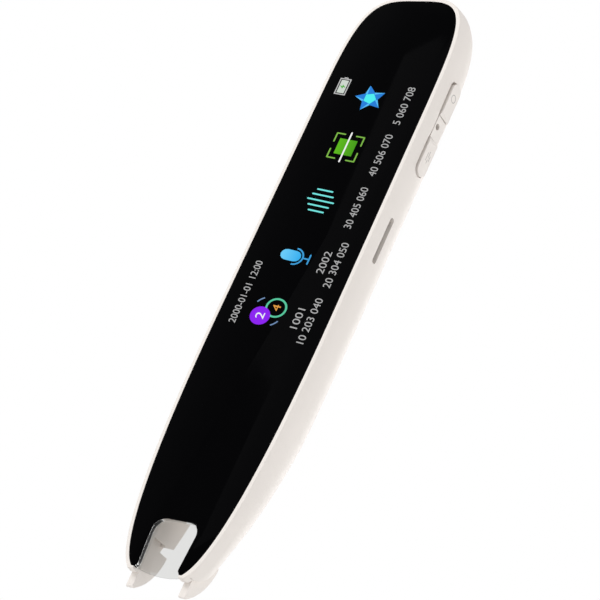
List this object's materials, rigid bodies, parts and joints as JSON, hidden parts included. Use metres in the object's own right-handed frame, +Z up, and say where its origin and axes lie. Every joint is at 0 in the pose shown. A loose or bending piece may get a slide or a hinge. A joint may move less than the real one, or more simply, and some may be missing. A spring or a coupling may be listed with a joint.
{
  "type": "handheld translator",
  "caption": "Slim white scanning translator stick with a full-length glass front, forked nose with a clear reading window and sprung scan feet, side keys and a brushed back plate.",
  "frame": {"origin": "bottom centre of the bounding box, under the tips of the scan feet, with the stick upright on its nose", "axes": "+Z runs up the stick to the end with the charging port; the glass front faces -Y and the brushed back +Y; +X is the side with the keys and the card slot"},
  "size_m": [0.0338, 0.013, 0.1568],
  "materials": {
    "lens_glass": "polished black-backed glass",
    "clear_window": "clear tinted plastic",
    "white_shell": "fine satin moulded plastic",
    "brushed_plate": "white brushed metal",
    "black_grille": "gloss black",
    "mesh": "woven dust mesh",
    "adhesive": "soft foam and tape",
    "display": "dark display glass",
    "light_metal": "bare sheet",
    "board": "green solder mask",
    "chip": "moulded black",
    "plated_metal": "tin-plated steel",
    "gold_contact": "gold plated",
    "flex": "amber film",
    "ceramic": "ivory",
    "lamp": "lamp body",
    "orange": "coloured plastic",
    "battery_wrap": "foil pouch",
    "steel": "bare steel"
  },
  "bodies": {
    "casing": {"cover_lens": "lens_glass", "reading_window": "clear_window", "front_frame": "white_shell", "lens_gasket": "adhesive", "display_panel": "display", "backlight_unit": "light_metal", "display_flex": "flex", "display_connector": "chip", "mid_frame": "light_metal", "main_board": "board", "processor": "chip", "memory_chip": "chip", "power_chip": "chip", "shield_can": "plated_metal", "antenna": "ceramic", "microphone": "plated_metal", "usb_port": "plated_metal", "usb_tongue": "chip", "card_socket": "plated_metal", "card_contacts": "gold_contact", "key_bridge": "white_shell", "key_switches": "chip", "battery": "battery_wrap", "battery_pad": "adhesive", "battery_lead": "orange", "battery_connector": "ceramic", "speaker": "chip", "speaker_gasket": "adhesive", "speaker_mesh": "mesh", "speaker_grille": "black_grille", "back_plate": "brushed_plate", "back_plate_tape": "adhesive", "rear_shell": "white_shell", "scan_window": "clear_window", "camera_module": "chip", "camera_lens": "clear_window", "light_board": "board", "scan_lights": "lamp", "camera_flex": "flex", "camera_connector": "chip", "foot_springs": "steel", "scan_switch": "chip", "case_screws": "steel", "board_screws": "steel"},
    "power_key": {"power_key": "white_shell", "power_plunger": "orange"},
    "function_key": {"function_key": "white_shell", "function_plunger": "orange"},
    "scan_feet": {"scan_feet": "white_shell", "scan_plunger": "orange"}
  },
  "joints": [
    {"name": "power_key_press", "type": "slide", "parent": "casing", "child": "power_key", "axis": [-1, 0, 0], "range_m": [0, 0.0004], "stiffness_N_per_m": 1500, "springref_m": -0.0001},
    {"name": "function_key_press", "type": "slide", "parent": "casing", "child": "function_key", "axis": [-1, 0, 0], "range_m": [0, 0.0004], "stiffness_N_per_m": 1500, "springref_m": -0.0001},
    {"name": "scan_feet_press", "type": "slide", "parent": "casing", "child": "scan_feet", "axis": [0, 0, 1], "range_m": [0, 0.0012], "stiffness_N_per_m": 500, "springref_m": -0.0006, "deforming": ["foot_springs"]}
  ]
}
